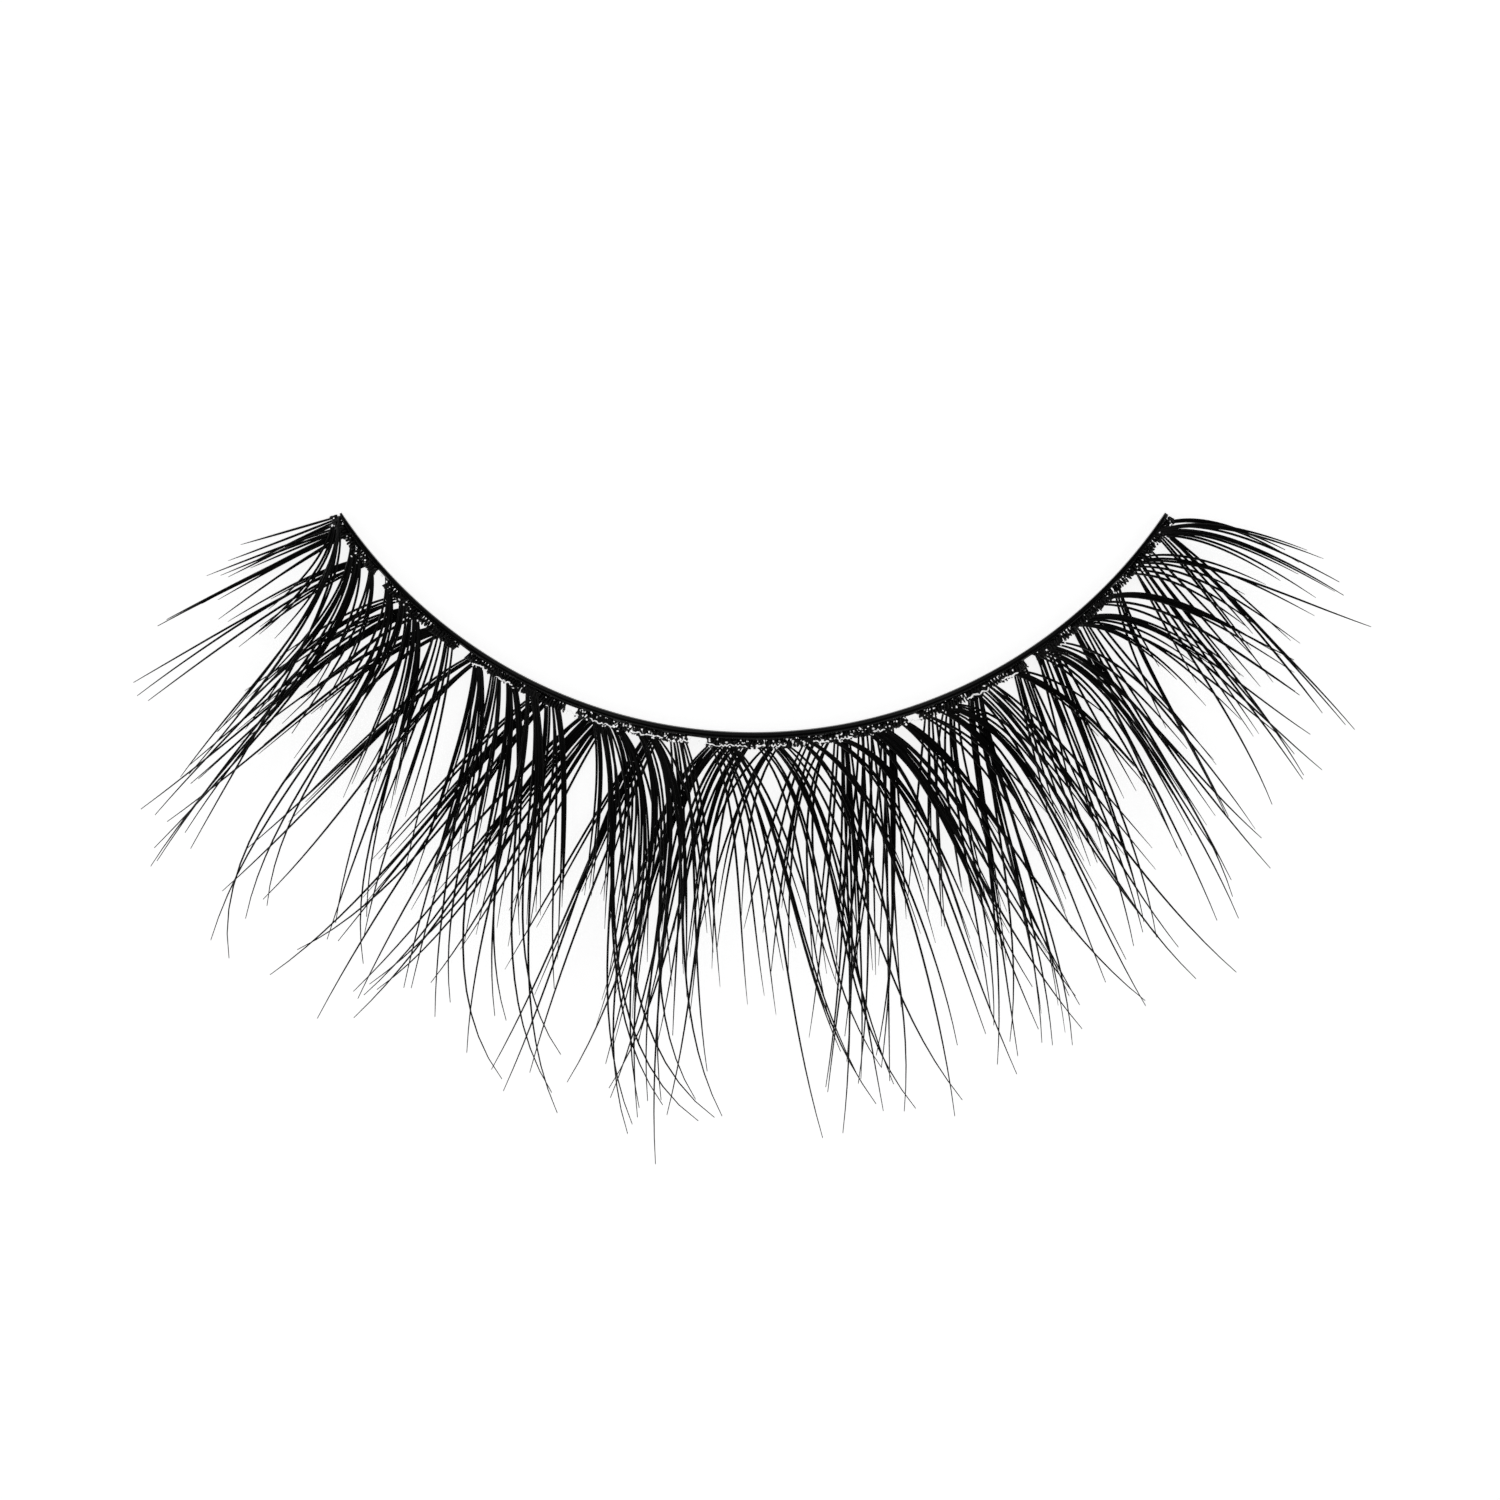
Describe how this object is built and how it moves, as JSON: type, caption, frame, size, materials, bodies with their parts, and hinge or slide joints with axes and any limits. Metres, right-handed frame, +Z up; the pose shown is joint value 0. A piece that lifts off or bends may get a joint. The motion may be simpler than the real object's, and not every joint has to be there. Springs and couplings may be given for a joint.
{
  "type": "false eyelash strip",
  "caption": "Wispy black false eyelash strip: a thin curved band with tapered hair clusters knotted along its outer edge in two crossing rows, curling up at the tips.",
  "frame": {"origin": "middle of the band's underside, on the surface that the strip lies on", "axes": "+X along the strip from its pointed end to its blunt end, +Y from the band's middle towards the lid, away from the hair, +Z up"},
  "size_m": [0.0414, 0.0216, 0.0059],
  "materials": {
    "band": "satin black coated thread",
    "hair": "black polyester fibre with a soft gloss"
  },
  "bodies": {
    "root": {"band": "band", "back_cluster_01": "hair", "back_cluster_02": "hair", "back_cluster_03": "hair", "back_cluster_04": "hair", "back_cluster_05": "hair", "back_cluster_06": "hair", "back_cluster_07": "hair", "back_cluster_08": "hair", "back_cluster_09": "hair", "back_cluster_10": "hair", "back_cluster_11": "hair", "back_cluster_12": "hair", "back_cluster_13": "hair", "back_cluster_14": "hair", "back_cluster_15": "hair", "back_cluster_16": "hair", "back_cluster_17": "hair", "back_cluster_18": "hair", "back_cluster_19": "hair", "back_cluster_20": "hair", "back_cluster_21": "hair", "back_cluster_22": "hair", "back_cluster_23": "hair", "back_cluster_24": "hair", "back_cluster_25": "hair", "back_cluster_26": "hair", "front_cluster_01": "hair", "front_cluster_02": "hair", "front_cluster_03": "hair", "front_cluster_04": "hair", "front_cluster_05": "hair", "front_cluster_06": "hair", "front_cluster_07": "hair", "front_cluster_08": "hair", "front_cluster_09": "hair", "front_cluster_10": "hair", "front_cluster_11": "hair", "front_cluster_12": "hair", "front_cluster_13": "hair", "front_cluster_14": "hair", "front_cluster_15": "hair", "front_cluster_16": "hair", "front_cluster_17": "hair", "front_cluster_18": "hair", "front_cluster_19": "hair", "front_cluster_20": "hair", "front_cluster_21": "hair", "front_cluster_22": "hair", "front_cluster_23": "hair", "front_cluster_24": "hair", "front_cluster_25": "hair", "front_cluster_26": "hair", "front_cluster_27": "hair", "front_cluster_28": "hair", "front_cluster_29": "hair", "front_cluster_30": "hair", "front_cluster_31": "hair", "front_cluster_32": "hair", "front_cluster_33": "hair"}
  },
  "joints": []
}
